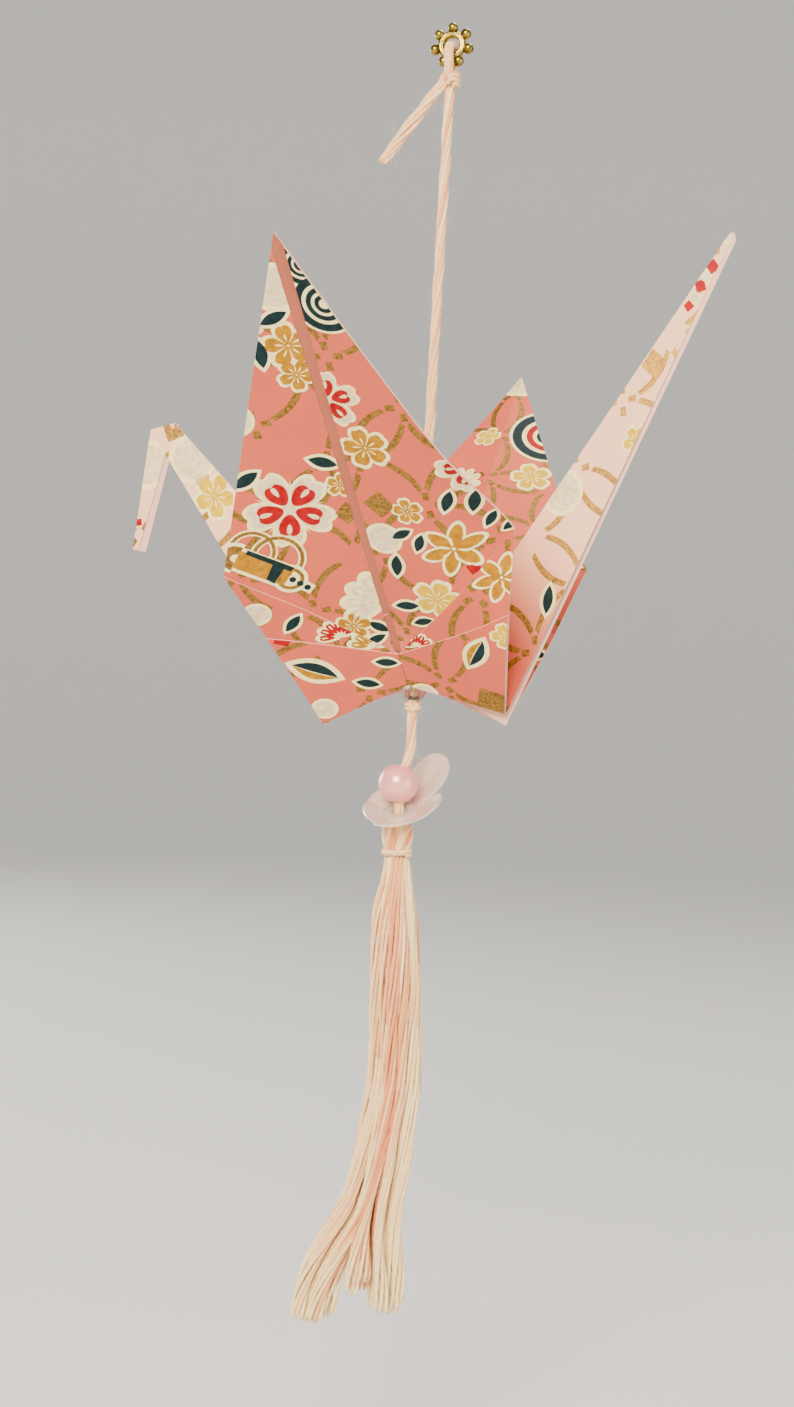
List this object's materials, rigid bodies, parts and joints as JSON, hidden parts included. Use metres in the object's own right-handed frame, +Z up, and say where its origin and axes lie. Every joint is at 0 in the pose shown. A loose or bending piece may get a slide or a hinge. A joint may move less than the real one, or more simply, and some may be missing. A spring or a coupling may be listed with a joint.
{
  "type": "hanging origami crane ornament",
  "caption": "Hanging paper crane folded from a printed square sheet, threaded on cotton floss with a beaded ring, beads, a flower cap and a tassel.",
  "frame": {"origin": "centre of the hanging ring's hole", "axes": "+Z up along the cord, +X towards the crane's tail, -Y towards the wing that faces the viewer"},
  "size_m": [0.0726, 0.0881, 0.1506],
  "materials": {
    "printed_paper": "printed pink paper with a slight sheen, gold ink lines and small blossoms",
    "gold_ring": "antique gold plate, dark in the hollows",
    "floss": "six loose strands of pink and cream cotton floss",
    "clear_glass": "clear round bead",
    "pink_pearl": "pink pearl lustre",
    "frosted_plastic": "frosted translucent flower",
    "tassel_floss": "variegated pink and cream cotton floss",
    "tie_floss": "one strand of the same floss wound round the neck"
  },
  "bodies": {
    "root": {"paper_crane": "printed_paper", "hanging_ring": "gold_ring", "hanging_cord": "floss", "clear_bead": "clear_glass", "pearl_bead": "pink_pearl", "flower_cap": "frosted_plastic", "tassel": "tassel_floss", "tassel_tie": "tie_floss"}
  },
  "joints": []
}
